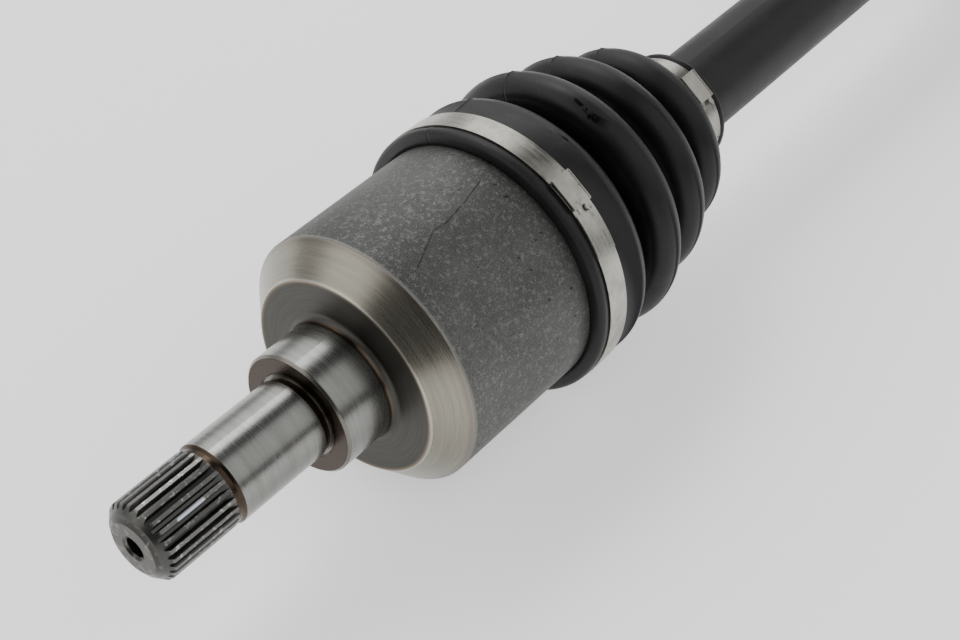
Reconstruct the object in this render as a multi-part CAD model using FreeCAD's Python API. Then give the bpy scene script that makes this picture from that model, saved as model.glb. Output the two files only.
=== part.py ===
import FreeCAD, Part
import math
import os

os.makedirs("parts", exist_ok=True)

# A car's half shaft lies along +X, with +Z up and the origin on its axis, at the middle of the inboard journal.
# The inboard end is a plunging tripod joint. The outboard end is a fixed ball joint. Sizes are in mm.

# Inboard stub, from its tip to the collar
stub_length = 64.0
stub_tip_chamfer = 2.4
stub_tip_face_radius = 8.6
stub_tip_bevel = 1.1
centre_drill_radius = 3.4
centre_drill_depth = 9.0
stub_spline_radius = 13.0
stub_spline_depth = 1.3
stub_spline_length = 27.5
stub_spline_teeth = 26
relief_ring_width = 2.4
journal_radius = 13.5
undercut_width = 2.2
undercut_depth = 0.6
undercut_rise = 1.0
undercut_face_depth = 0.4
collar_radius = 20.3
collar_length = 17.6
collar_chamfer = 0.8
collar_fillet = 2.3

# Inboard housing, a cup with three straight tracks
cone_height = 9.5
cone_length = 9.1
housing_radius = 43.0
housing_length = 74.0
cup_floor_wall = 9.6
cup_bore_radius = 24.0
cup_mouth_radius = 32.5
cup_flare_length = 24.0
mouth_chamfer = 1.0

# Rollers and spider of the inboard joint
trunnion_count = 3
trunnion_pitch_radius = 24.5
trunnion_head_radius = 9.0
trunnion_head_half_width = 3.2
trunnion_neck_radius = 6.5
roller_radius = 15.5
roller_width = 9.0
roller_crown = 0.5
roller_outer_wall = 2.0
roller_inner_wall = 1.55
needle_radius = 1.4
needle_count = 24
retainer_thickness = 0.7
spider_hub_radius = 16.2
spider_hub_length = 20.0
spider_hub_chamfer = 1.5
inboard_centre_from_mouth = 36.5

# Axle bar
joint_spacing = 403.5
bar_radius = 15.5
bar_neck_radius = 12.8
bar_spline_radius = 12.0
bar_spline_depth = 1.0
bar_spline_teeth = 26
bar_end_length = 13.5
bar_taper_length = 6.0
circlip_wire_radius = 0.9

# Boots and clamps
boot_wall = 2.4
boot_seat_wall = 4.1
boot_lip_height = 1.3
boot_bead_height = 4.8
boot_bead_length = 4.2
boot_seat_reach = 0.3
clamp_width = 8.2
clamp_thickness = 1.1
clamp_fit = 0.05
clamp_ear_height = 1.0
clamp_ear_length = 13.0
clamp_ear_turn = 36.0
outboard_ear_turn = 180.0
small_cuff_wall = 4.1
small_cuff_length = 13.0
small_cuff_bead_height = 1.2
small_cuff_bead_width = 2.5
small_clamp_width = 7.0
inboard_boot_length = 108.0
inboard_boot_overlap = 19.2
inboard_first_fold = 8.5
inboard_crest_heights = (4.6, 3.7, -1.2, -8.5)
inboard_fold_depth = 14.5
inboard_crest_half_width = 6.1
inboard_valley_half_width = 1.9
outboard_boot_length = 92.0
outboard_boot_overlap = 16.0
outboard_first_fold = 6.5
outboard_crest_heights = (4.6, 2.6, -2.0, -7.5, -13.0)
outboard_fold_depth = 10.5
outboard_crest_half_width = 4.1
outboard_valley_half_width = 1.2

# Outboard ball joint
ball_count = 6
ball_radius = 8.7
ball_pitch_radius = 29.0
inner_race_radius = 26.0
inner_race_width = 24.0
cage_wall = 5.8
cage_width = 26.0
cage_window_width = 21.0
bell_radius = 43.0
bell_mouth_from_centre = 13.0
bell_straight_length = 33.0
bell_shoulder_radius = 27.0
bell_shoulder_from_centre = 43.0
bell_dome_length = 12.0
bell_dome_drop = 5.0
bell_groove_end = 19.5

# Outboard stub
hub_seat_radius = 17.0
hub_seat_length = 3.0
hub_spline_radius = 13.8
hub_spline_depth = 1.3
hub_spline_length = 40.0
hub_spline_teeth = 28
thread_radius = 11.0
thread_length = 22.0

# Clearances
track_clearance = 0.1
running_clearance = 0.05
sphere_clearance = 0.08
ball_groove_clearance = 0.75
spline_clearance = 0.04

journal_length = stub_length - stub_spline_length - relief_ring_width - undercut_width
collar_face = undercut_width + journal_length / 2
stub_tip = collar_face - stub_length
shoulder_radius = housing_radius - cone_height
shoulder_face = collar_face + collar_length + collar_fillet
cone_end = shoulder_face + cone_length
housing_mouth = cone_end + housing_length
cup_floor = shoulder_face + cup_floor_wall
inboard_centre = housing_mouth - inboard_centre_from_mouth
outboard_centre = inboard_centre + joint_spacing
inboard_boot_start = housing_mouth - inboard_boot_overlap
bell_mouth = outboard_centre - bell_mouth_from_centre
outboard_boot_end = bell_mouth + outboard_boot_overlap
bell_face = outboard_centre + bell_shoulder_from_centre

small_cuff_radius = bar_radius + small_cuff_wall
roller_inner_bore = trunnion_head_radius + running_clearance
roller_inner_radius = roller_inner_bore + roller_inner_wall
needle_pitch_radius = roller_inner_radius + running_clearance + needle_radius
roller_outer_bore = roller_radius - roller_outer_wall

x_axis = FreeCAD.Vector(1, 0, 0)
y_axis = FreeCAD.Vector(0, 1, 0)
z_axis = FreeCAD.Vector(0, 0, 1)
origin = FreeCAD.Vector(0, 0, 0)


def at(x, r):
    """Point of a half section: x along the shaft, r from its axis."""
    return FreeCAD.Vector(x, 0, r)


def turned(profile, axis=x_axis, base=origin):
    """Solid of revolution. A profile is a list of points; a tuple of two is an arc, via and end."""
    edges = []
    first = profile[0]
    here = first
    for step in profile[1:] + [first]:
        if isinstance(step, tuple):
            edges.append(Part.Arc(here, step[0], step[1]).toShape())
            here = step[1]
        elif here.distanceToPoint(step) > 1e-6:
            edges.append(Part.LineSegment(here, step).toShape())
            here = step
    face = Part.Face(Part.Wire(edges))
    solid = face.revolve(base, axis, 360)
    if solid.Volume < 0:
        solid.reverse()
    return solid


def cylinder(radius, x_start, x_end):
    return Part.makeCylinder(radius, x_end - x_start, at(x_start, 0), x_axis)


def ring(inner, outer, x_start, x_end):
    return turned([at(x_start, inner), at(x_end, inner), at(x_end, outer), at(x_start, outer)])


def spline_prism(tip_radius, depth, teeth, x_start, x_end, clearance=0.0):
    """Toothed bar. With a clearance it is the tool that cuts the matching bore."""
    points = []
    pitch = 2 * math.pi / teeth
    tip = tip_radius + clearance
    root = tip_radius - depth + clearance
    widen = clearance / tip_radius
    for tooth in range(teeth):
        middle = tooth * pitch
        for radius, share in ((root, -0.34), (tip, -0.19), (tip, 0.19), (root, 0.34)):
            angle = middle + share * pitch + math.copysign(widen, share)
            points.append(FreeCAD.Vector(x_start, radius * math.sin(angle), radius * math.cos(angle)))
    face = Part.Face(Part.makePolygon(points + [points[0]]))
    return face.extrude(FreeCAD.Vector(x_end - x_start, 0, 0))


def splined(tip_radius, depth, teeth, x_start, x_end, chamfer, bevel=(0.0, 0.0)):
    """Splined length with a chamfered end. A bevel, as length and height, softens the end face's rim."""
    envelope = turned([
        at(x_start, 0),
        at(x_start, tip_radius - chamfer - bevel[1]),
        at(x_start + bevel[0], tip_radius - chamfer),
        at(x_start + bevel[0] + chamfer, tip_radius + running_clearance),
        at(x_end, tip_radius + running_clearance),
        at(x_end, 0),
    ])
    return spline_prism(tip_radius, depth, teeth, x_start, x_end).common(envelope)


def export(name, shape):
    shape.exportStep("parts/" + name + ".step")


def around(shape, angle, axis=x_axis, base=origin):
    turned_shape = shape.copy()
    turned_shape.rotate(base, axis, angle)
    return turned_shape


def trunnion_angle(number):
    """Turn about +X that carries the +Z direction to this trunnion."""
    return number * 360.0 / trunnion_count


# Inboard housing
def inboard_stub():
    spline_end = stub_tip + stub_spline_length
    journal_start = spline_end + relief_ring_width
    core = turned([
        at(spline_end - relief_ring_width, 0),
        at(spline_end - relief_ring_width, stub_spline_radius - stub_spline_depth),
        at(spline_end, stub_spline_radius - 0.3),
        at(journal_start - 0.8, stub_spline_radius - 0.3),
        at(journal_start, journal_radius),
        at(collar_face - undercut_width, journal_radius),
        at(collar_face - undercut_width + undercut_depth, journal_radius - undercut_depth),
        at(collar_face + undercut_face_depth, journal_radius - undercut_depth),
        at(collar_face + undercut_face_depth, 0),
    ])
    rim_height = stub_spline_radius - stub_tip_chamfer - stub_tip_face_radius
    teeth = splined(
        stub_spline_radius,
        stub_spline_depth,
        stub_spline_teeth,
        stub_tip,
        spline_end,
        stub_tip_chamfer,
        (stub_tip_bevel, rim_height),
    )
    drill = turned([
        at(stub_tip - 1, 0),
        at(stub_tip - 1, centre_drill_radius + 1.8),
        at(stub_tip, centre_drill_radius + 0.8),
        at(stub_tip + 0.8, centre_drill_radius),
        at(stub_tip + centre_drill_depth, centre_drill_radius),
        at(stub_tip + centre_drill_depth + centre_drill_radius * 0.6, 0),
    ])
    return core.fuse(teeth).cut(drill)


def housing_body():
    fillet_middle = collar_fillet * (1 - math.cos(math.pi / 4))
    return turned([
        at(collar_face + undercut_face_depth, 0),
        at(collar_face + undercut_face_depth, journal_radius + undercut_rise / 2),
        at(collar_face, journal_radius + undercut_rise),
        at(collar_face, collar_radius - collar_chamfer),
        at(collar_face + collar_chamfer, collar_radius),
        at(collar_face + collar_length, collar_radius),
        (
            at(shoulder_face - fillet_middle, collar_radius + fillet_middle),
            at(shoulder_face, collar_radius + collar_fillet),
        ),
        at(shoulder_face, shoulder_radius),
        at(cone_end, housing_radius),
        at(housing_mouth - mouth_chamfer, housing_radius),
        at(housing_mouth, housing_radius - mouth_chamfer),
        at(housing_mouth, 0),
    ])


def housing_cavity():
    flare_start = housing_mouth - cup_flare_length
    bore = turned([
        at(cup_floor, 0),
        at(cup_floor, cup_bore_radius - 3),
        at(cup_floor + 3, cup_bore_radius),
        at(flare_start, cup_bore_radius),
        at(housing_mouth + 1, cup_mouth_radius + 0.35),
        at(housing_mouth + 1, 0),
    ])
    half_width = roller_radius + track_clearance
    depth = trunnion_pitch_radius + roller_width / 2 + 0.5
    length = housing_mouth + 1 - cup_floor
    slot = Part.makeBox(length, 2 * half_width, depth, FreeCAD.Vector(cup_floor, -half_width, 0))
    outer_edges = [
        edge for edge in slot.Edges
        if abs(edge.Length - length) < 0.01 and edge.CenterOfMass.z > depth - 0.01
    ]
    slot = slot.makeFillet(1.5, outer_edges)
    for number in range(trunnion_count):
        bore = bore.fuse(around(slot, trunnion_angle(number)))
    return bore


def inboard_housing():
    return inboard_stub().fuse(housing_body()).cut(housing_cavity()).removeSplitter()


# Spider and rollers, each drawn on the +Z trunnion
def spider():
    half = spider_hub_length / 2
    start = inboard_centre - half
    end = inboard_centre + half
    hub = turned([
        at(start, 0),
        at(start, spider_hub_radius - spider_hub_chamfer),
        at(start + spider_hub_chamfer, spider_hub_radius),
        at(end - spider_hub_chamfer, spider_hub_radius),
        at(end, spider_hub_radius - spider_hub_chamfer),
        at(end, 0),
    ])
    centre = at(inboard_centre, trunnion_pitch_radius)
    head = Part.makeSphere(trunnion_head_radius, centre)
    slab = Part.makeCylinder(
        trunnion_head_radius,
        2 * trunnion_head_half_width,
        at(inboard_centre, trunnion_pitch_radius - trunnion_head_half_width),
        z_axis,
    )
    neck = Part.makeCylinder(trunnion_neck_radius, trunnion_pitch_radius, at(inboard_centre, 0), z_axis)
    trunnion = neck.fuse(head.common(slab))
    for number in range(trunnion_count):
        hub = hub.fuse(around(trunnion, trunnion_angle(number)))
    bore = spline_prism(
        bar_spline_radius, bar_spline_depth, bar_spline_teeth, start - 1, end + 1, spline_clearance
    )
    return hub.cut(bore).removeSplitter()


def trunnion_ring(profile):
    """Ring about the +Z trunnion. The profile's points are radius and height from the ring's middle."""
    points = []
    for step in profile:
        if isinstance(step[0], tuple):
            points.append(tuple(trunnion_point(radius, height) for radius, height in step))
        else:
            points.append(trunnion_point(step[0], step[1]))
    return turned(points, z_axis, at(inboard_centre, 0))


def trunnion_point(radius, height):
    return FreeCAD.Vector(inboard_centre + radius, 0, trunnion_pitch_radius + height)


def roller_outer():
    half = roller_width / 2
    edge = roller_radius - roller_crown
    return trunnion_ring([
        (roller_outer_bore, -half),
        (edge - 0.4, -half),
        (edge, -half + 0.4),
        ((roller_radius, 0), (edge, half - 0.4)),
        (edge - 0.4, half),
        (roller_outer_bore, half),
    ])


def roller_inner():
    half = roller_width / 2
    return trunnion_ring([
        (roller_inner_bore, -half),
        (roller_inner_radius, -half),
        (roller_inner_radius, half),
        (roller_inner_bore, half),
    ])


def roller_needles():
    half = roller_width / 2 - retainer_thickness - running_clearance
    needles = []
    for number in range(needle_count):
        angle = 2 * math.pi * number / needle_count
        base = FreeCAD.Vector(
            inboard_centre + needle_pitch_radius * math.cos(angle),
            needle_pitch_radius * math.sin(angle),
            trunnion_pitch_radius - half,
        )
        needles.append(Part.makeCylinder(needle_radius, 2 * half, base, z_axis))
    return Part.makeCompound(needles)


def roller_retainers():
    half = roller_width / 2
    inner = roller_inner_radius + running_clearance
    outer = roller_outer_bore - running_clearance
    rings = []
    for top in (half, -half + retainer_thickness):
        bottom = top - retainer_thickness
        rings.append(trunnion_ring([(inner, bottom), (outer, bottom), (outer, top), (inner, top)]))
    return Part.makeCompound(rings)


# Axle bar and its circlips
def bar_end(centre, outward):
    """Half section from a splined end to the full bar. Outward is -1 inboard and 1 outboard."""
    tip = centre + outward * bar_end_length
    neck = centre - outward * (bar_end_length + 1)
    return tip, neck


def circlip_place(centre, width, outward):
    return centre + outward * (width / 2 + circlip_wire_radius + running_clearance)


def axle_bar():
    in_tip, in_neck = bar_end(inboard_centre, -1)
    out_tip, out_neck = bar_end(outboard_centre, 1)
    in_seat = inboard_boot_start + inboard_boot_length - small_cuff_length - bar_taper_length
    out_seat = outboard_boot_end - outboard_boot_length + small_cuff_length + bar_taper_length
    root = bar_spline_radius - bar_spline_depth
    bar = turned([
        at(in_neck, 0),
        at(in_neck, root),
        at(in_neck + 1.5, bar_neck_radius),
        at(in_seat - bar_taper_length, bar_neck_radius),
        at(in_seat, bar_radius),
        at(out_seat, bar_radius),
        at(out_seat + bar_taper_length, bar_neck_radius),
        at(out_neck - 1.5, bar_neck_radius),
        at(out_neck, root),
        at(out_neck, 0),
    ])
    inner_spline = splined(
        bar_spline_radius, bar_spline_depth, bar_spline_teeth, in_tip, in_neck, bar_spline_depth
    )
    outer_spline = splined(
        bar_spline_radius, bar_spline_depth, bar_spline_teeth, -out_tip, -out_neck, bar_spline_depth
    )
    outer_spline = outer_spline.mirror(origin, x_axis)
    bar = bar.fuse(inner_spline).fuse(outer_spline)
    for centre, width, outward in circlip_seats:
        middle = circlip_place(centre, width, outward)
        half = circlip_wire_radius + running_clearance
        bar = bar.cut(ring(bar_spline_radius - 1.2, bar_spline_radius + 1, middle - half, middle + half))
    return bar.removeSplitter()


def circlip(centre, width, outward):
    """Snap ring of round wire with a gap."""
    middle = circlip_place(centre, width, outward)
    radius = bar_spline_radius - 1.2 + running_clearance + circlip_wire_radius
    wire = Part.makeTorus(radius, circlip_wire_radius, at(middle, 0), x_axis)
    gap = Part.makeBox(4, 5, 4 * radius, FreeCAD.Vector(middle - 2, -2.5, -4 * radius))
    return wire.cut(gap)


circlip_seats = [(inboard_centre, spider_hub_length, -1), (outboard_centre, inner_race_width, 1)]


# Boots: a lip, a clamp seat and a first fold, then folds that shrink to the small cuff
class Folds:
    """Crests and valleys spread evenly between the clamp seat and the small cuff."""

    def __init__(self, start, length, seat_radius, first_fold, crest_heights, depth, half_widths):
        self.start = start
        self.seat_radius = seat_radius
        self.clamp_start = start + boot_bead_length
        self.clamp_end = self.clamp_start + clamp_width
        self.cuff_end = start + length
        self.cuff_start = self.cuff_end - small_cuff_length
        self.crest_half, self.valley_half = half_widths
        foot = self.cuff_start - self.valley_half
        pitch = (foot - self.clamp_end - first_fold) / (len(crest_heights) - 0.5)
        self.crests = []
        self.valleys = []
        for number, height in enumerate(crest_heights):
            radius = seat_radius + height
            middle = self.clamp_end + first_fold + pitch * number
            self.crests.append((middle, radius))
            self.valleys.append((middle + pitch / 2, radius - depth))
        self.valleys[-1] = (foot, small_cuff_radius + small_cuff_bead_height)

    def skin(self, inward):
        """The folds' profile after the end of the seat, moved inward by a wall."""
        crest_half = self.crest_half - inward
        valley_half = self.valley_half + inward
        shoulder = crest_half * math.cos(math.pi / 4)
        line = []
        for number, (crest, valley) in enumerate(zip(self.crests, self.valleys)):
            x, radius = crest[0], crest[1] - inward
            top = at(x, radius)
            if number == 0:
                line.append(top)
                corner = at(x + shoulder, radius - crest_half + shoulder)
            else:
                line.append(at(x - crest_half, radius - crest_half))
                corner = top
            line.append((corner, at(x + crest_half, radius - crest_half)))
            x, radius = valley[0], valley[1] - inward
            if number < len(self.crests) - 1:
                line.append(at(x - valley_half, radius + valley_half))
                line.append((at(x, radius), at(x + valley_half, radius + valley_half)))
        return line


def reversed_line(start, line):
    """The same profile from its far end, included, back to start."""
    points = [start] + [step[1] if isinstance(step, tuple) else step for step in line]
    back = [points[-1]]
    for index in range(len(line) - 1, -1, -1):
        step = line[index]
        before = points[index]
        back.append((step[0], before) if isinstance(step, tuple) else before)
    return back


def boot(folds, overlap):
    """Moulded bellows with its large end at the folds' start."""
    lip_radius = folds.seat_radius + boot_lip_height
    bead_radius = folds.seat_radius + boot_bead_height
    clamp_seat = folds.seat_radius + boot_seat_wall
    cuff_start, cuff_end = folds.cuff_start, folds.cuff_end
    bead_top = small_cuff_radius + small_cuff_bead_height
    outside = [
        at(folds.start, lip_radius),
        (
            at(folds.start + 0.9, bead_radius - 0.9),
            at(folds.start + boot_bead_length / 2, bead_radius),
        ),
        (at(folds.clamp_start - 0.5, bead_radius - 0.5), at(folds.clamp_start, clamp_seat)),
        at(folds.clamp_end, clamp_seat),
    ]
    outside += folds.skin(0.0)
    outside += [
        at(cuff_start, bead_top),
        at(cuff_start + 1.5, small_cuff_radius),
        at(cuff_end - small_cuff_bead_width, small_cuff_radius),
        at(cuff_end - small_cuff_bead_width + 0.7, bead_top),
        at(cuff_end, bead_top - 0.6),
    ]
    seat_end = at(folds.start + overlap + boot_seat_reach, folds.seat_radius)
    inside = [at(cuff_end, bar_radius), at(cuff_start + boot_wall, bar_radius)]
    inside += reversed_line(seat_end, folds.skin(boot_wall))
    inside.append(at(folds.start, folds.seat_radius))
    return turned(outside + inside)


def inboard_boot():
    folds = Folds(
        inboard_boot_start,
        inboard_boot_length,
        housing_radius,
        inboard_first_fold,
        inboard_crest_heights,
        inboard_fold_depth,
        (inboard_crest_half_width, inboard_valley_half_width),
    )
    return boot(folds, inboard_boot_overlap)


def outboard_boot():
    folds = Folds(
        -outboard_boot_end,
        outboard_boot_length,
        bell_radius,
        outboard_first_fold,
        outboard_crest_heights,
        outboard_fold_depth,
        (outboard_crest_half_width, outboard_valley_half_width),
    )
    return boot(folds, outboard_boot_overlap).mirror(origin, x_axis)


def clamp(x_start, width, seat_radius, ear_turn):
    """Band clamp with the flat raised bridge where its ends overlap."""
    inner = seat_radius + clamp_fit
    band = ring(inner, inner + clamp_thickness, x_start, x_start + width)
    top = inner + clamp_thickness + clamp_ear_height
    bridge = Part.makeBox(
        width,
        clamp_ear_length,
        top - inner / 2,
        FreeCAD.Vector(x_start, -clamp_ear_length / 2, inner / 2),
    )
    bridge = bridge.cut(cylinder(inner, x_start - 1, x_start + width + 1))
    return around(band.fuse(bridge).removeSplitter(), ear_turn)


# Outboard joint
def ball_direction(number):
    return number * 360.0 / ball_count


def ball():
    return Part.makeSphere(ball_radius, at(outboard_centre, ball_pitch_radius))


def meridian_grooves():
    """One ring-shaped tool for each pair of opposite balls, in the plane of the axis and the balls."""
    section = ball_radius + ball_groove_clearance
    centre = at(outboard_centre, 0)
    tools = []
    for number in range(ball_count // 2):
        angle = math.radians(ball_direction(number))
        side = FreeCAD.Vector(0, math.cos(angle), math.sin(angle))
        tools.append(Part.makeTorus(ball_pitch_radius, section, centre, side))
    return tools


def inner_race():
    half = inner_race_width / 2
    centre = at(outboard_centre, 0)
    blank = Part.makeSphere(inner_race_radius, centre).common(
        cylinder(2 * inner_race_radius, outboard_centre - half, outboard_centre + half)
    )
    bore = spline_prism(
        bar_spline_radius,
        bar_spline_depth,
        bar_spline_teeth,
        outboard_centre - half - 1,
        outboard_centre + half + 1,
        spline_clearance,
    )
    for tool in meridian_grooves():
        blank = blank.cut(tool)
    return blank.cut(bore)


def cage():
    half = cage_width / 2
    inner = inner_race_radius + sphere_clearance
    centre = at(outboard_centre, 0)
    shell = Part.makeSphere(inner + cage_wall, centre).cut(Part.makeSphere(inner, centre))
    shell = shell.common(
        cylinder(2 * inner_race_radius, outboard_centre - half, outboard_centre + half)
    )
    slot = ball_radius + running_clearance
    window = Part.makeBox(
        2 * slot,
        cage_window_width,
        2 * inner,
        FreeCAD.Vector(outboard_centre - slot, -cage_window_width / 2, inner / 2),
    )
    edges = [edge for edge in window.Edges if abs(edge.Length - 2 * inner) < 0.01]
    window = window.makeFillet(2.0, edges)
    for number in range(ball_count):
        shell = shell.cut(around(window, ball_direction(number)))
    return shell


def bell():
    socket_radius = inner_race_radius + cage_wall + 2 * sphere_clearance
    straight_end = bell_mouth + bell_straight_length
    seat_end = bell_face + hub_seat_length
    spline_end = seat_end + hub_spline_length
    tip = spline_end + thread_length
    body = turned([
        at(bell_mouth, 0),
        at(bell_mouth, bell_radius - 3),
        at(bell_mouth + 1.5, bell_radius),
        at(straight_end, bell_radius),
        (
            at(straight_end + bell_dome_length, bell_radius - bell_dome_drop),
            at(bell_face - 4, bell_shoulder_radius + 1.5),
        ),
        at(bell_face, bell_shoulder_radius),
        at(bell_face, hub_seat_radius + 1),
        at(bell_face + 1, hub_seat_radius),
        at(seat_end, hub_seat_radius),
        at(seat_end + 1.5, hub_spline_radius - hub_spline_depth),
        at(spline_end - 0.5, hub_spline_radius - hub_spline_depth),
        at(spline_end + 1.0, thread_radius - 1.2),
        at(spline_end + 3.0, thread_radius - 1.2),
        at(spline_end + 4.0, thread_radius),
        at(tip - 1.5, thread_radius),
        at(tip, thread_radius - 1.5),
        at(tip, 0),
    ])
    teeth = splined(
        hub_spline_radius, hub_spline_depth, hub_spline_teeth, -spline_end, -seat_end - 1.5, 1.5
    ).mirror(origin, x_axis)
    drill = turned([
        at(tip + 1, 0),
        at(tip + 1, centre_drill_radius + 1.0),
        at(tip, centre_drill_radius),
        at(tip - centre_drill_depth, centre_drill_radius),
        at(tip - centre_drill_depth - centre_drill_radius * 0.6, 0),
    ])
    socket = Part.makeSphere(socket_radius, at(outboard_centre, 0))
    solid = body.fuse(teeth).cut(socket)
    limit = cylinder(2 * bell_radius, bell_mouth - bell_radius, outboard_centre + bell_groove_end)
    for tool in meridian_grooves():
        solid = solid.cut(tool.common(limit))
    return solid.cut(drill)


# Write every piece
export("inboard_housing", inboard_housing())
export("tripod_spider", spider())
ring_parts = [
    ("roller_outer_ring", roller_outer()),
    ("roller_inner_ring", roller_inner()),
    ("roller_needles", roller_needles()),
    ("roller_retainers", roller_retainers()),
]
for name, shape in ring_parts:
    for number in range(trunnion_count):
        export(name + "_" + str(number + 1), around(shape, trunnion_angle(number)))
export("axle_bar", axle_bar())
export("spider_circlip", circlip(*circlip_seats[0]))
export("inner_race_circlip", circlip(*circlip_seats[1]))
export("inboard_boot", inboard_boot())
export("outboard_boot", outboard_boot())

large_seat = housing_radius + boot_seat_wall
inboard_large_start = inboard_boot_start + boot_bead_length
export("inboard_large_clamp", clamp(inboard_large_start, clamp_width, large_seat, clamp_ear_turn))
bell_seat = bell_radius + boot_seat_wall
outboard_large_start = outboard_boot_end - boot_bead_length - clamp_width
export("outboard_large_clamp", clamp(outboard_large_start, clamp_width, bell_seat, outboard_ear_turn))
inboard_small_start = (
    inboard_boot_start + inboard_boot_length - small_cuff_bead_width - small_clamp_width - 0.5
)
export("inboard_small_clamp", clamp(inboard_small_start, small_clamp_width, small_cuff_radius, clamp_ear_turn))
outboard_small_start = outboard_boot_end - outboard_boot_length + small_cuff_bead_width + 0.5
export("outboard_small_clamp", clamp(outboard_small_start, small_clamp_width, small_cuff_radius, clamp_ear_turn))
export("inner_race", inner_race())
export("ball_cage", cage())
export("outboard_bell", bell())
for number in range(ball_count):
    export("ball_" + str(number + 1), around(ball(), ball_direction(number)))
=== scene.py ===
# %% [markdown]
# # A car's drive shaft
# The frame holds the shaft's steel pieces at their real size, in metres: +X runs along the shaft from
# the inboard stub, and +Z is up. This script gives each piece its finish, and builds the two rubber
# boots, the band clamps and the thread as meshes of their own, because a simple solid can't show a
# moulded fold or a bent strip.

# %% Load the frame
import math

import bmesh
import bpy
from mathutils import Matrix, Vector


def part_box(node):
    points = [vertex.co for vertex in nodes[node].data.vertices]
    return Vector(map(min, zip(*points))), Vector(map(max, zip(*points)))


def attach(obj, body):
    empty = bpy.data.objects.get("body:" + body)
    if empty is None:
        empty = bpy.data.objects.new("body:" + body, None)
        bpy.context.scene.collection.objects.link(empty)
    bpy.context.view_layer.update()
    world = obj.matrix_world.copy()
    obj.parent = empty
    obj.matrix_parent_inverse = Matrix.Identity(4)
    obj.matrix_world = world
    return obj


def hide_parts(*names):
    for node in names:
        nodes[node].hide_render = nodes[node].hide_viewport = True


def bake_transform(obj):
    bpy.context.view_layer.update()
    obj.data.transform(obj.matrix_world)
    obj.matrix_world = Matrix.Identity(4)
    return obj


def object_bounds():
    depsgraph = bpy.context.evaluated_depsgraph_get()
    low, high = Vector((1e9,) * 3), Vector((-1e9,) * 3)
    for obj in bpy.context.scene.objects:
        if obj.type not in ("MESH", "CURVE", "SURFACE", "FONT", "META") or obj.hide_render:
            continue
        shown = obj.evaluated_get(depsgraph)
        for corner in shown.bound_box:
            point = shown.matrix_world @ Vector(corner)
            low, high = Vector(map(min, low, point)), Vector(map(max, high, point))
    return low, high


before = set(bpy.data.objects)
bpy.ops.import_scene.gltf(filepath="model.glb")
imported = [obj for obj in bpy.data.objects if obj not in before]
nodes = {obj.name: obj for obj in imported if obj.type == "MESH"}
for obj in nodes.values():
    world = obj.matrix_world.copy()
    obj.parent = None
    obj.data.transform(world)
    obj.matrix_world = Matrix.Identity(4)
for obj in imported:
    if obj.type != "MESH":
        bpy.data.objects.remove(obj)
solid_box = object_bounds()
MM = 0.001
print("frame box in metres:", [[round(v, 4) for v in corner] for corner in solid_box])

# %% [markdown]
# ## The camera
# The photograph was taken with a lens of about 68 mm on a full frame, from above and in front of the
# stub. Giving the camera a place and a point to look at keeps it level, which a photographer's tripod
# does too.

# %% Camera
scene = bpy.context.scene
stub_length = 64.0 * MM
collar_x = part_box("inboard_housing")[0][0] + stub_length
camera_place = Vector((collar_x - 248.2 * MM, -269.5 * MM, 377.4 * MM))
camera_target = Vector((collar_x + 64.6 * MM, -15.6 * MM, 0.0))
camera_data = bpy.data.cameras.new("camera")
camera_data.lens = 67.9
camera_data.sensor_width = 36.0
camera_data.clip_start = 0.01
camera = bpy.data.objects.new("camera", camera_data)
camera.location = camera_place
camera.rotation_euler = (camera_target - camera_place).to_track_quat("-Z", "Y").to_euler()
scene.collection.objects.link(camera)
scene.camera = camera
print("camera to target:", round((camera_target - camera_place).length, 3), "m")

# %% [markdown]
# ## Studio light
# Polished and forged steel shows its surroundings, so the light is where the picture of a shaft is won.
# Lamps could be set up one by one, but a round bar then shows each as a hard line. A photographer hangs
# large sheets of cloth instead: one behind the shaft, a dim one lower down behind it and one in front,
# with a dark gap straight above and a dark room towards the camera. The same is drawn here as a world
# whose brightness depends on the direction round the shaft's axis, so every cylinder gets two broad
# highlights with a dark streak between them. One weak panel from behind adds to the light on the boots'
# folds.

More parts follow.
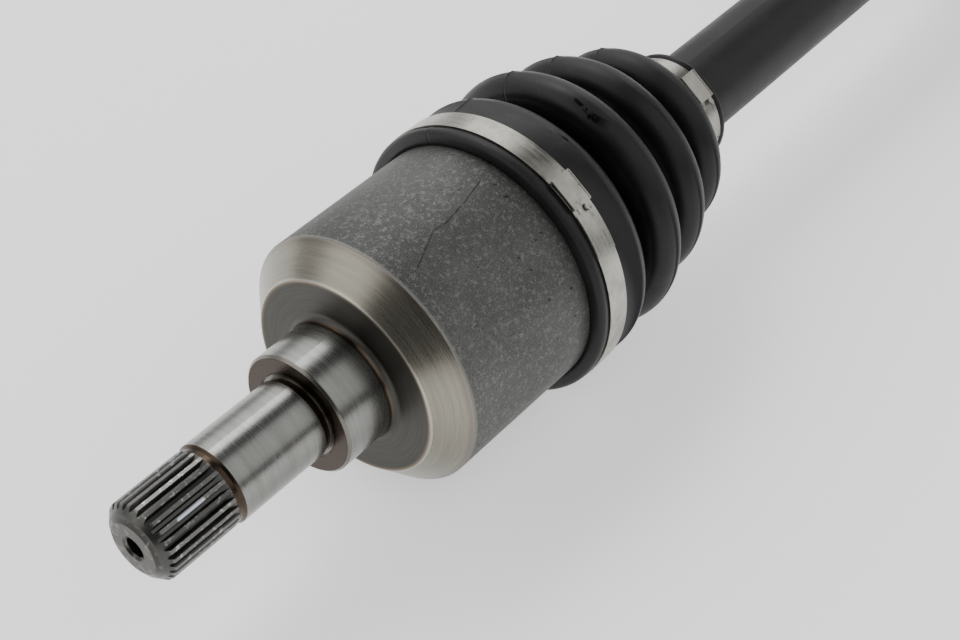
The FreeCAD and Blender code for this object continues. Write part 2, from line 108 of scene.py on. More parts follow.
# %% Node helpers
class Graph:
    """Short calls that add and join nodes in one node tree."""

    def __init__(self, tree):
        self.tree = tree

    def add(self, kind, **settings):
        node = self.tree.nodes.new(kind)
        for key, value in settings.items():
            setattr(node, key, value)
        return node

    def join(self, output, socket):
        self.tree.links.new(output, socket)

    def feed(self, value, socket):
        """Joins an output, or sets a plain value."""
        if isinstance(value, bpy.types.NodeSocket):
            self.join(value, socket)
        else:
            socket.default_value = value

    def math(self, operation, a, b=0.0):
        node = self.add("ShaderNodeMath", operation=operation)
        self.feed(a, node.inputs[0])
        self.feed(b, node.inputs[1])
        return node.outputs[0]

    def product(self, *values):
        result = values[0]
        for value in values[1:]:
            result = self.math("MULTIPLY", result, value)
        return result

    def highest(self, *values):
        result = values[0]
        for value in values[1:]:
            result = self.math("MAXIMUM", result, value)
        return result

    def between(self, value, low, high, out_low=0.0, out_high=1.0):
        """Maps low..high to out_low..out_high with a soft start and end, held outside them."""
        node = self.add("ShaderNodeMapRange", interpolation_type="SMOOTHSTEP")
        self.join(value, node.inputs["Value"])
        node.inputs["From Min"].default_value = low
        node.inputs["From Max"].default_value = high
        node.inputs["To Min"].default_value = out_low
        node.inputs["To Max"].default_value = out_high
        return node.outputs[0]

    def band(self, value, low, high, soft):
        """One inside low..high and zero outside, with soft edges."""
        rise = self.between(value, low - soft, low + soft)
        fall = self.between(value, high - soft, high + soft, 1.0, 0.0)
        return self.math("MULTIPLY", rise, fall)

    def mix(self, share, a, b):
        node = self.add("ShaderNodeMix", data_type="RGBA")
        self.feed(share, node.inputs[0])
        for value, socket in ((a, node.inputs[6]), (b, node.inputs[7])):
            plain = value if isinstance(value, bpy.types.NodeSocket) else (*value, 1.0)
            self.feed(plain, socket)
        return node.outputs[2]

    def number(self, share, a, b):
        """A number between a and b."""
        node = self.add("ShaderNodeMix", data_type="FLOAT")
        self.feed(share, node.inputs[0])
        self.feed(a, node.inputs[2])
        self.feed(b, node.inputs[3])
        return node.outputs[0]


# %% World
degree = math.pi / 180
world = bpy.data.worlds.new("studio")
world.use_nodes = True
scene.world = world
sky = Graph(world.node_tree)
direction = sky.add("ShaderNodeSeparateXYZ")
sky.join(sky.add("ShaderNodeTexCoord").outputs["Generated"], direction.inputs[0])
along, side, up = direction.outputs
round_axis = sky.math("ARCTAN2", sky.math("MULTIPLY", side, -1.0), up)

# Each cloth's start, end and soft edge in degrees round the shaft, from straight up, and its brightness.
cloths = {"low": (-118, -60, 12, 0.6), "behind": (-66, -20, 7, 2.0), "front": (12, 74, 7, 1.1)}
brightness = 0.05  # the dark room
for cloth, (start, end, soft, bright) in cloths.items():
    share = sky.band(round_axis, start * degree, end * degree, soft * degree)
    if cloth == "front":
        stub_side = sky.between(along, -0.8, -0.6)
        share = sky.product(share, stub_side)
    brightness = sky.number(share, brightness, bright)
background = world.node_tree.nodes["Background"]
background.inputs["Color"].default_value = (1.0, 1.0, 1.0, 1.0)
sky.join(brightness, background.inputs["Strength"])
print("cloths round the shaft:", ", ".join(cloths))


# %% Panel light
def panel(name, place, target, size, power):
    """A rectangular soft light that faces a point."""
    data = bpy.data.lights.new(name, "AREA")
    data.shape = "RECTANGLE"
    data.size, data.size_y = size
    data.energy = power
    light = bpy.data.objects.new(name, data)
    light.location = place
    light.rotation_euler = (Vector(target) - Vector(place)).to_track_quat("-Z", "Y").to_euler()
    scene.collection.objects.link(light)
    print(name, "at", place, "with", power, "W")


panel("boot_panel", place=(0.35, 0.5, 0.9), target=(0.15, 0.0, 0.0), size=(0.5, 0.3), power=2.0)

# %% [markdown]
# ## Finishes as small node graphs
# A finish could be painted on an unwrapped picture, but a turned piece has no good place for the seam.
# Every finish here is worked out from a point's place instead: how far along the shaft it is, how far
# from the axis, and its turn round it. Marks that a lathe leaves run round the piece, so they are noise
# that changes fast along the cut and slowly round it.

# %% Finish
class Finish(Graph):
    """A material with its shader and the places that its marks depend on."""

    def __init__(self, name, color=(0.5, 0.5, 0.5), metallic=0.0, roughness=0.5, specular=0.5):
        self.material = bpy.data.materials.new(name)
        self.material.use_nodes = True
        super().__init__(self.material.node_tree)
        self.shader = self.tree.nodes["Principled BSDF"]
        self.shader.inputs["Base Color"].default_value = (*color, 1.0)
        self.shader.inputs["Metallic"].default_value = metallic
        self.shader.inputs["Roughness"].default_value = roughness
        self.shader.inputs["Specular IOR Level"].default_value = specular
        self.place = self.add("ShaderNodeTexCoord").outputs["Object"]
        split = self.add("ShaderNodeSeparateXYZ")
        self.join(self.place, split.inputs[0])
        x, self.y, self.z = split.outputs
        self.x = self.math("SUBTRACT", x, collar_x)
        squares = [self.math("MULTIPLY", value, value) for value in (self.y, self.z)]
        self.radius = self.math("SQRT", self.math("ADD", *squares))
        self.turn = self.math("ARCTAN2", self.math("MULTIPLY", self.y, -1.0), self.z)

    def vector(self, a, b, c=0.0):
        node = self.add("ShaderNodeCombineXYZ")
        for value, socket in zip((a, b, c), node.inputs):
            self.feed(value, socket)
        return node.outputs[0]

    def noise(self, scale, detail=4.0, roughness=0.55, stretch=(1.0, 1.0, 1.0), source=None):
        mapping = self.add("ShaderNodeMapping")
        mapping.inputs["Scale"].default_value = stretch
        self.join(source or self.place, mapping.inputs["Vector"])
        node = self.add("ShaderNodeTexNoise")
        node.inputs["Scale"].default_value = scale
        node.inputs["Detail"].default_value = detail
        node.inputs["Roughness"].default_value = roughness
        self.join(mapping.outputs[0], node.inputs["Vector"])
        return node.outputs["Fac"]

    def lathe_lines(self, fineness, wander=0.6):
        """Noise that changes fast along the cut, also on faces and cones, and slowly round the shaft."""
        cut = self.math("ADD", self.x, self.radius)
        return self.noise(90.0, 3.0, 0.6, (fineness, wander, wander), self.vector(cut, self.y, self.z))

    def cells(self, scale):
        node = self.add("ShaderNodeTexVoronoi")
        node.inputs["Scale"].default_value = scale
        self.join(self.place, node.inputs["Vector"])
        return node.outputs["Distance"]

    def bump(self, height, distance, strength=1.0, before=None):
        node = self.add("ShaderNodeBump")
        node.inputs["Strength"].default_value = strength
        node.inputs["Distance"].default_value = distance
        self.join(height, node.inputs["Height"])
        if before is not None:
            self.join(before, node.inputs["Normal"])
        return node.outputs["Normal"]

    def scratch(self, start, end, radius, width):
        """One on a thin line between two places, each given as mm along the shaft and degrees round it."""
        ends = [Vector((x * MM, turn * degree * radius, 0.0)) for x, turn in (start, end)]
        here = self.vector(self.x, self.math("MULTIPLY", self.turn, radius))
        run = ends[1] - ends[0]
        away = self.add("ShaderNodeVectorMath", operation="SUBTRACT")
        self.join(here, away.inputs[0])
        away.inputs[1].default_value = ends[0]
        dot = self.add("ShaderNodeVectorMath", operation="DOT_PRODUCT")
        self.join(away.outputs[0], dot.inputs[0])
        dot.inputs[1].default_value = run / run.length_squared
        share = self.math("MAXIMUM", self.math("MINIMUM", dot.outputs["Value"], 1.0), 0.0)
        step = self.add("ShaderNodeVectorMath", operation="SCALE")
        step.inputs[0].default_value = run
        self.join(share, step.inputs["Scale"])
        gap = self.add("ShaderNodeVectorMath", operation="DISTANCE")
        self.join(away.outputs[0], gap.inputs[0])
        self.join(step.outputs[0], gap.inputs[1])
        return self.between(gap.outputs["Value"], width * 0.3, width, 1.0, 0.0)

    def show(self, color=None, roughness=None, normal=None):
        for value, name in ((color, "Base Color"), (roughness, "Roughness"), (normal, "Normal")):
            if value is not None:
                self.join(value, self.shader.inputs[name])
        return self.material


def dress(node_name, material):
    """Gives a node of the frame its finish."""
    node = nodes[node_name]
    for slot in node.material_slots:
        slot.material = material
    if not node.material_slots:
        node.data.materials.append(material)


# %% [markdown]
# ## The floor
# The shaft lies on seamless white paper. A large flat sheet is enough, because the light is so soft
# that no edge shows. The paper glows a little, as it does over a lit table, which keeps it white under
# the shaft.

# %% Floor
paper_glow = 0.62
paper_reach = 6.0


def paper():
    sheet = Finish("white_paper", (0.93, 0.93, 0.93), roughness=0.8, specular=0.1)
    sheet.shader.inputs["Emission Color"].default_value = (1.0, 1.0, 1.0, 1.0)
    sheet.shader.inputs["Emission Strength"].default_value = paper_glow
    grain = sheet.noise(6.0, 3.0)
    return sheet.show(color=sheet.mix(grain, (0.92, 0.92, 0.92), (0.94, 0.94, 0.94)))


floor_level = solid_box[0][2]
corners = [(x * paper_reach, y * paper_reach) for x, y in ((-1, -1), (1, -1), (1, 1), (-1, 1))]
floor_mesh = bpy.data.meshes.new("floor")
floor_mesh.from_pydata([(x, y, floor_level) for x, y in corners], [], [(0, 1, 2, 3)])
floor_mesh.materials.append(paper())
floor = bpy.data.objects.new("floor", floor_mesh)
scene.collection.objects.link(floor)
print("floor at", round(floor_level, 4))

# %% [markdown]
# ## The forging
# The housing starts as one forging with its stub. Its cup keeps the dark phosphated skin, which is
# fine-grained and sparkles, with scratches and nicks from handling. The cone and the seats are turned
# bright, the face between them is dark, and the grooves keep brown oil. It could get one material for
# each of these, but the solid has one slot, and borders on a slot follow its facets. One material that
# asks how far along the shaft a point lies keeps every border on the edge that the lathe cut.

# %% Forging skin
def skin_color(finish):
    """Grey phosphate: cloudy, grainy, with bright specks and a few dark pits."""
    clouds = finish.noise(26.0, 5.0, 0.6)
    grain = finish.noise(2300.0, 2.0, 0.75)
    coarse = finish.noise(620.0, 3.0, 0.7)
    color = finish.mix(finish.between(clouds, 0.35, 0.68), (0.086, 0.087, 0.082), (0.124, 0.125, 0.118))
    spots = finish.product(finish.between(coarse, 0.5, 0.66), 0.5)
    color = finish.mix(spots, color, (0.24, 0.24, 0.232))
    dark_grain = finish.product(finish.between(grain, 0.5, 0.3), 0.6)
    color = finish.mix(dark_grain, color, (0.04, 0.041, 0.04))
    sparkle = finish.product(finish.between(grain, 0.6, 0.74), 0.62)
    color = finish.mix(sparkle, color, (0.42, 0.42, 0.405))
    pits = finish.between(finish.cells(150.0), 0.05, 0.11, 0.75, 0.0)
    pitted = finish.between(finish.noise(60.0, 2.0), 0.55, 0.62)
    color = finish.mix(finish.product(pits, pitted), color, (0.016, 0.016, 0.016))
    return color, finish.math("ADD", grain, coarse)


skin_roughness = 0.58
skin_depth = 0.12 * MM

# %% [markdown]
# ## Marks from handling
# The forging lay among others before it was fitted, so it has one long broken scratch, a few fine ones
# and small nicks. A random scatter would be quicker, but it wouldn't look like a thing that was bumped
# in certain places. Each mark is listed in mm along the shaft from the collar and degrees round it.

# %% Handling marks
joint_radius = 43.0 * MM
scratch_path = [(75.9, 8.6), (66.8, 11.5), (56.0, 13.9), (50.3, 13.2), (45.9, 15.9), (35.5, 21.9)]
scratch_width = 0.36 * MM
fine_scratches = [((72.0, 4.0), (60.0, 8.0)), ((58.0, 27.0), (49.0, 31.0)), ((71.0, 30.0), (62.0, 33.5))]
fine_width = 0.22 * MM
# Each nick's place, and its size beside the usual one.
nicks = [(76.9, 20.5, 1.3), (77.7, 13.8, 0.9), (77.5, 40.3, 1.0), (74.5, 41.2, 0.8), (65.6, 42.3, 0.9),
         (68.0, 63.6, 1.1), (66.9, 49.0, 0.8), (68.3, 5.7, 0.9), (52.0, 35.0, 0.6), (40.0, 52.0, 0.7)]
nick_width = 0.45 * MM


def handling_marks(finish):
    """The long broken scratch on top, a few fine ones, and small dark nicks."""
    parts = zip(scratch_path, scratch_path[1:])
    long_scratch = finish.highest(*[finish.scratch(a, b, joint_radius, scratch_width) for a, b in parts])
    broken = finish.between(finish.noise(320.0, 4.0, 0.7), 0.36, 0.62, 0.25, 0.85)
    marks = [finish.product(long_scratch, broken)]
    for start, end in fine_scratches:
        marks.append(finish.product(finish.scratch(start, end, joint_radius, fine_width), 0.35))
    for x, turn, size in nicks:
        end = (x + 0.7 * size, turn + 0.5 * size)
        nick = finish.scratch((x, turn), end, joint_radius, nick_width * size)
        marks.append(finish.product(nick, 0.85))
    return finish.highest(*marks)


# %% Places on the forging
# Along the shaft, from the collar's front.
teeth_start = -63.2 * MM
relief_ring = -36.6 * MM
journal_start = -34.1 * MM
collar_groove = -2.2 * MM
collar_front = 0.1 * MM
collar_side = 1.1 * MM
collar_fillet = 17.2 * MM
face_start = 18.7 * MM
cone_start = 20.0 * MM
cup_start = 28.9 * MM
# From the shaft's axis.
drilling_radius = 3.2 * MM
tooth_radius = 13.0 * MM
crest_low, crest_high = 12.35 * MM, 12.85 * MM
face_radius = 33.4 * MM
print("from the teeth to the cup:", round((cup_start - teeth_start) / MM, 1), "mm")

# %% Splined tip
# Where each rub on the teeth's crests starts, in mm along the shaft and degrees round it.
rubs = [(-40.9, -39.0), (-37.5, -15.0), (-31.5, 57.0), (-61.7, 47.0)]


def teeth_color(finish, patches):
    """Oil between the teeth, and pale, speckled and rubbed crests with one bright glint."""
    color = finish.mix(finish.between(patches, 0.42, 0.66), (0.07, 0.07, 0.066), (0.19, 0.188, 0.178))
    crest = finish.between(finish.radius, crest_low, crest_high)
    color = finish.mix(finish.product(crest, 0.5), color, (0.2, 0.198, 0.187))
    speckles = finish.product(crest, finish.between(finish.noise(520.0, 3.0, 0.75), 0.56, 0.66))
    color = finish.mix(finish.product(speckles, 0.7), color, (0.48, 0.48, 0.465))
    rubbed = [finish.scratch((x, turn), (x + 2.2, turn + 5.0), tooth_radius, 1.1 * MM) for x, turn in rubs]
    color = finish.mix(finish.product(finish.highest(*rubbed), crest, 0.6), color, (0.52, 0.52, 0.51))
    glint = finish.scratch((-54.0, 43.0), (-45.0, 43.0), tooth_radius, 0.8 * MM)
    return finish.mix(finish.product(glint, crest), color, (0.62, 0.68, 0.78))


def tip_color(finish, patches):
    """The chamfered end with its centre drilling."""
    fine = finish.noise(420.0, 3.0, 0.6)
    color = finish.mix(finish.between(patches, 0.4, 0.65), (0.052, 0.05, 0.045), (0.1, 0.096, 0.087))
    grit = finish.product(finish.between(fine, 0.52, 0.68), 0.5)
    color = finish.mix(grit, color, (0.235, 0.223, 0.207))
    drilling = finish.between(finish.radius, drilling_radius, drilling_radius - 0.3 * MM)
    return finish.mix(drilling, color, (0.02, 0.018, 0.016))


# %% Turned and ground steel
def turned_colors(finish, lines, broad, patches):
    """The cone, the ground seats, the face, the collar's front and the oily grooves."""
    cone = finish.mix(finish.between(lines, 0.3, 0.7), (0.212, 0.199, 0.162), (0.25, 0.237, 0.198))
    sheen = finish.product(finish.between(broad, 0.4, 0.65), 0.3)
    cone = finish.mix(sheen, cone, (0.32, 0.303, 0.258))
    ground = finish.mix(finish.between(broad, 0.35, 0.65), (0.215, 0.216, 0.204), (0.25, 0.251, 0.238))
    stains = finish.product(finish.between(patches, 0.5, 0.7), 0.35)
    ground = finish.mix(stains, ground, (0.17, 0.167, 0.154))
    face = finish.mix(finish.between(lines, 0.35, 0.65), (0.052, 0.05, 0.045), (0.067, 0.065, 0.058))
    front = finish.mix(finish.between(lines, 0.3, 0.7), (0.14, 0.132, 0.115), (0.19, 0.18, 0.16))
    bronze = finish.mix(finish.between(patches, 0.4, 0.65), (0.05, 0.036, 0.026), (0.11, 0.085, 0.062))
    return cone, ground, face, front, bronze


def worn_skin(finish):
    """The cup's skin with its marks, rubbed bright at its front edge, and the height of its grain."""
    skin, height = skin_color(finish)
    skin = finish.mix(finish.product(handling_marks(finish), 0.85), skin, (0.02, 0.02, 0.02))
    edge_wear = finish.band(finish.x, cup_start - 0.1 * MM, cup_start + 0.8 * MM, 0.3 * MM)
    return finish.mix(finish.product(edge_wear, 0.5), skin, (0.3, 0.29, 0.27)), height


# %% Forged steel
def forged_color(finish, lines, broad, patches, skin):
    """Lays the colours one after another along the shaft."""
    cone, ground, face, front, bronze = turned_colors(finish, lines, broad, patches)

    def from_here(start, inside, outside, soft=0.12 * MM):
        """The color inside, from a place along the shaft on."""
        return finish.mix(finish.between(finish.x, start - soft, start + soft), outside, inside)

    color = from_here(teeth_start, teeth_color(finish, patches), tip_color(finish, patches), 0.4 * MM)
    color = from_here(relief_ring, bronze, color, 0.3 * MM)
    color = from_here(journal_start, ground, color)
    color = from_here(collar_groove, (0.045, 0.032, 0.023), color)
    color = from_here(collar_front, front, color, 0.05 * MM)
    color = from_here(collar_side, ground, color)
    color = from_here(collar_fillet, bronze, color, 0.5 * MM)
    color = from_here(face_start, face, color, 0.4 * MM)
    before_cone = finish.between(finish.x, cone_start + 0.3 * MM, cone_start - 0.1 * MM)
    rim = finish.product(finish.between(finish.radius, face_radius - 1.2 * MM, face_radius), before_cone)
    color = finish.mix(rim, color, (0.17, 0.13, 0.09))
    color = from_here(cone_start, cone, color, 0.05 * MM)
    edge = finish.band(finish.x, cone_start - 0.1 * MM, cone_start + 0.4 * MM, 0.2 * MM)
    outer = finish.between(finish.radius, face_radius - 0.4 * MM, face_radius)
    color = finish.mix(finish.product(edge, outer, 0.6), color, (0.52, 0.5, 0.45))
    tint = finish.band(finish.x, cup_start - 1.2 * MM, cup_start - 0.1 * MM, 0.7 * MM)
    color = finish.mix(finish.product(tint, 0.5), color, (0.15, 0.13, 0.115))
    return from_here(cup_start, skin, color, 0.1 * MM)


def forged_steel():
    finish = Finish("forged_steel", metallic=1.0)
    lines = finish.lathe_lines(30.0)
    broad = finish.lathe_lines(6.0, 0.4)
    patches = finish.noise(34.0, 5.0, 0.6)
    skin, skin_height = worn_skin(finish)
    color = forged_color(finish, lines, broad, patches, skin)
    is_skin = finish.between(finish.x, cup_start - 0.1 * MM, cup_start + 0.1 * MM)
    is_teeth = finish.between(finish.x, relief_ring, relief_ring + 0.2 * MM, 1.0, 0.0)
    is_face = finish.band(finish.x, face_start - 0.2 * MM, cone_start + 0.1 * MM, 0.2 * MM)
    roughness = finish.number(is_skin, finish.between(lines, 0.3, 0.7, 0.25, 0.3), skin_roughness)
    roughness = finish.number(is_teeth, roughness, finish.between(patches, 0.3, 0.7, 0.3, 0.45))
    roughness = finish.number(is_face, roughness, 0.42)
    skin_bump = finish.bump(finish.product(skin_height, is_skin), skin_depth, 0.55)
    turned = finish.product(lines, finish.math("SUBTRACT", 1.0, is_skin))
    return finish.show(color, roughness, finish.bump(turned, 0.02 * MM, 0.12, skin_bump))


forging_finish = forged_steel()
dress("inboard_housing", forging_finish)
print("forging finish:", len(forging_finish.node_tree.nodes), "nodes")

# %% [markdown]
# ## The bell, the bar and the hidden pieces
# The outboard bell has the same dark skin, with ground seats from its face outward. The bar is painted
# black with a dull sheen and a little dust, so it needs low gloss more than detail. What lies inside
# the joints is ground bearing steel with a film of grease.

# %% Bell, bar and bearing steel
bell_face = 512.5 * MM


def bell_steel():
    finish = Finish("bell_steel", metallic=1.0)
    skin, skin_height = skin_color(finish)
    lines = finish.lathe_lines(30.0)
    ground = finish.mix(finish.between(lines, 0.3, 0.7), (0.3, 0.295, 0.28), (0.36, 0.355, 0.34))
    machined = finish.between(finish.x, bell_face, bell_face + 0.3 * MM)
    roughness = finish.number(machined, skin_roughness, finish.between(lines, 0.3, 0.7, 0.25, 0.3))
    forged = finish.product(skin_height, finish.math("SUBTRACT", 1.0, machined))
    relief = finish.bump(forged, skin_depth, 0.55)
    return finish.show(finish.mix(machined, skin, ground), roughness, relief)


def black_paint():
    finish = Finish("satin_black_paint", roughness=0.5, specular=0.3)
    dust = finish.noise(60.0, 5.0, 0.65)
    specks = finish.between(finish.noise(900.0, 2.0, 0.7), 0.68, 0.76)
    color = finish.mix(finish.between(dust, 0.4, 0.75), (0.007, 0.007, 0.0075), (0.014, 0.014, 0.0145))
    color = finish.mix(finish.product(specks, 0.35), color, (0.08, 0.08, 0.08))
    roughness = finish.between(dust, 0.3, 0.7, 0.46, 0.56)
    return finish.show(color, roughness, finish.bump(finish.noise(700.0, 2.0, 0.5), 0.1 * MM, 0.22))


def bearing_steel():
    finish = Finish("greased_bearing_steel", metallic=1.0)
    film = finish.noise(120.0, 4.0, 0.6)
    color = finish.mix(finish.between(film, 0.35, 0.7), (0.42, 0.4, 0.36), (0.6, 0.59, 0.57))
    return finish.show(color, finish.between(film, 0.3, 0.7, 0.16, 0.3), finish.bump(film, 0.05 * MM, 0.2))


bell_finish = bell_steel()
dress("axle_bar", black_paint())
joint_steel = bearing_steel()
inner_names = ("tripod_spider", "spider_circlip", "inner_race", "roller", "ball_")
inner = [name for name in nodes if name.startswith(inner_names)]
for name in inner:
    dress(name, joint_steel)
print("bearing steel on", len(inner), "pieces")

# %% [markdown]
# ## The hub nut's thread
# The stub ends in a thread for the hub nut. A screw modifier or a picture of lines would do for a far
# view, but up close the ridges must climb as one helix and fade out at both ends. So the bell's mesh is
# copied, the faces of its plain threaded length are taken out, and a fine grid whose radius follows the
# helix fills the place.

# %% Thread
thread_start = collar_x + 560.0 * MM
thread_end = collar_x + 576.5 * MM
thread_radius = 11.0 * MM
thread_pitch = 1.5 * MM
thread_depth = 0.8 * MM
thread_rows, thread_columns = 154, 96
fade_in, fade_out = 1.2 * MM, 0.9 * MM


def plain_length(work):
    """The faces of the stub's plain end that the thread takes the place of."""
    near = 0.05 * MM
    plain = []
    for face in work.faces:
        points = [vertex.co for vertex in face.verts]
        inside = all(thread_start - near < p.x < thread_end + near for p in points)
        on_radius = all(abs(math.hypot(p.y, p.z) - thread_radius) < near for p in points)
        if inside and on_radius:
            plain.append(face)
    return plain


def around(x, radius, turn):
    """A point by its place along the shaft, its radius, and its turn from straight up."""
    return x, -radius * math.sin(turn), radius * math.cos(turn)


def thread_point(row, column):
    """A point of the helix: flat on its ridge and in its groove, with slopes between."""
    x = thread_start + (thread_end - thread_start) * row / thread_rows
    fade = min(1.0, (x - thread_start) / fade_in, (thread_end - x) / fade_out)
    share = column / thread_columns
    phase = ((x - thread_start) / thread_pitch - share) % 1.0
    groove = min(1.0, max(0.0, 1.15 - abs(2 * phase - 1) * 1.3))
    return around(x, thread_radius - thread_depth * groove * fade, 2 * math.pi * share)


def threaded_bell():
    mesh = nodes["outboard_bell"].data.copy()
    work = bmesh.new()
    work.from_mesh(mesh)
    plain = plain_length(work)
    bmesh.ops.delete(work, geom=plain, context="FACES")
    grid = [[work.verts.new(thread_point(row, column)) for column in range(thread_columns)]
            for row in range(thread_rows + 1)]
    for low, high in zip(grid, grid[1:]):
        for column in range(thread_columns):
            after = (column + 1) % thread_columns
            work.faces.new((low[column], low[after], high[after], high[column]))
    work.to_mesh(mesh)
    work.free()
    mesh.materials.clear()
    mesh.materials.append(bell_finish)
    piece = bpy.data.objects.new("bell_with_thread", mesh)
    scene.collection.objects.link(piece)
    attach(piece, "bell")
    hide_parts("outboard_bell")
    return piece, len(plain)


bell, plain_faces = threaded_bell()
print("thread: took out", plain_faces, "plain faces; bell faces now", len(bell.data.polygons))

# %% [markdown]
# ## The rubber boots
# A boot is moulded in one piece: a lip, a seat for the clamp, folds that shrink, and a cuff.
# Subdividing a rough tube would round off the narrow valleys, so the profile is drawn as a moulder's
# drawing has it, arc by arc, with one wall thickness, and turned about the shaft. The mould's parting
# line is a fine ridge on two sides, with a small nib on each crest. Each boot is two meshes. The joint's
# middle body moves by itself. The inboard boot is parted in its first valley, where the shadow hides the
# joint line. That valley is a little shallower than the solid's, which leaves room for the bar at full
# bend. The outboard boot is parted on a crest.

# %% Rubber
# Each wet mark's start and end, in mm along the shaft and degrees round it, and its width in metres.
wet_marks = [((101.6, -4.0), (102.3, 5.5), 0.0011), ((102.0, 5.5), (104.8, 13.0), 0.0017),
             ((104.8, 13.0), (105.6, 20.0), 0.001), ((122.6, 8.0), (121.4, 17.0), 0.0008),
             ((121.2, 17.0), (123.0, 27.0), 0.0016), ((136.0, 31.0), (136.6, 38.5), 0.0007)]
boot_radius = 46.5 * MM
parting_sides = (-27.0, 153.0)
seam_half, seam_soft = 0.45 * degree, 0.3 * degree


def boot_rubber():
    finish = Finish("boot_rubber", roughness=0.5, specular=0.3)
    dust = finish.noise(45.0, 6.0, 0.65)
    grain = finish.noise(1100.0, 3.0, 0.6)
    smudges = finish.between(finish.noise(30.0, 6.0, 0.8, (1.0, 1.0, 2.5)), 0.58, 0.72)
    specks = finish.between(finish.noise(640.0, 2.0, 0.8), 0.7, 0.78)
    color = finish.mix(finish.between(dust, 0.4, 0.8), (0.0055, 0.0055, 0.006), (0.013, 0.013, 0.0135))
    color = finish.mix(finish.product(smudges, 0.3), color, (0.04, 0.04, 0.04))
    color = finish.mix(finish.product(specks, 0.3), color, (0.1, 0.1, 0.1))
    seams = [finish.band(finish.turn, side * degree - seam_half, side * degree + seam_half, seam_soft)
             for side in parting_sides]
    seam = finish.highest(*seams)
    ragged = finish.between(finish.noise(260.0, 5.0, 0.75), 0.42, 0.5)
    wet = [finish.scratch(start, end, boot_radius, width) for start, end, width in wet_marks]
    wet = finish.product(finish.highest(*wet), ragged)
    color = finish.mix(finish.highest(wet, finish.product(seam, 0.8)), color, (0.002, 0.002, 0.002))
    roughness = finish.number(wet, finish.between(dust, 0.3, 0.75, 0.38, 0.52), 0.16)
    pits = finish.between(finish.cells(330.0), 0.0, 0.13)
    pitted = finish.bump(pits, 0.12 * MM, 0.25)
    sunk = finish.bump(finish.math("SUBTRACT", 1.0, seam), 0.3 * MM, 0.5, pitted)
    relief = finish.bump(grain, 0.07 * MM, 0.3, sunk)
    return finish.show(color, roughness, relief)


rubber = boot_rubber()
print("rubber finish:", len(rubber.node_tree.nodes), "nodes")


# %% Turned meshes
def turn_profile(name, profile, steps, shape):
    """Turns a closed profile of (x, radius) points about the shaft. Shape changes a point's radius."""
    count = len(profile)
    points = []
    for step in range(steps):
        turn = 2 * math.pi * step / steps
        for x, radius in profile:
            points.append(around(x, radius + shape(x, radius, turn), turn))
    faces = []
    for step in range(steps):
        following = (step + 1) % steps
        for index in range(count):
            after = (index + 1) % count
            faces.append((step * count + index, following * count + index,
                          following * count + after, step * count + after))
    mesh = bpy.data.meshes.new(name)
    mesh.from_pydata(points, [], faces)
    mesh.update()
    for polygon in mesh.polygons:
        polygon.use_smooth = True
    piece = bpy.data.objects.new(name, mesh)
    scene.collection.objects.link(piece)
    return piece


# %% Boot sizes
boot_wall = 1.6 * MM
lip_radius = 44.3 * MM
bead_radius = 47.8 * MM
seat_radius = 47.1 * MM
bar_radius = 15.5 * MM
cuff_radius = 19.6 * MM
cuff_bead_radius = 20.8 * MM
bead_length = 4.2 * MM
clamp_width = 8.2 * MM
cuff_length = 13.0 * MM
bead_samples, crest_samples, valley_samples = 12, 9, 14
parting_turn = math.radians(parting_sides[0])


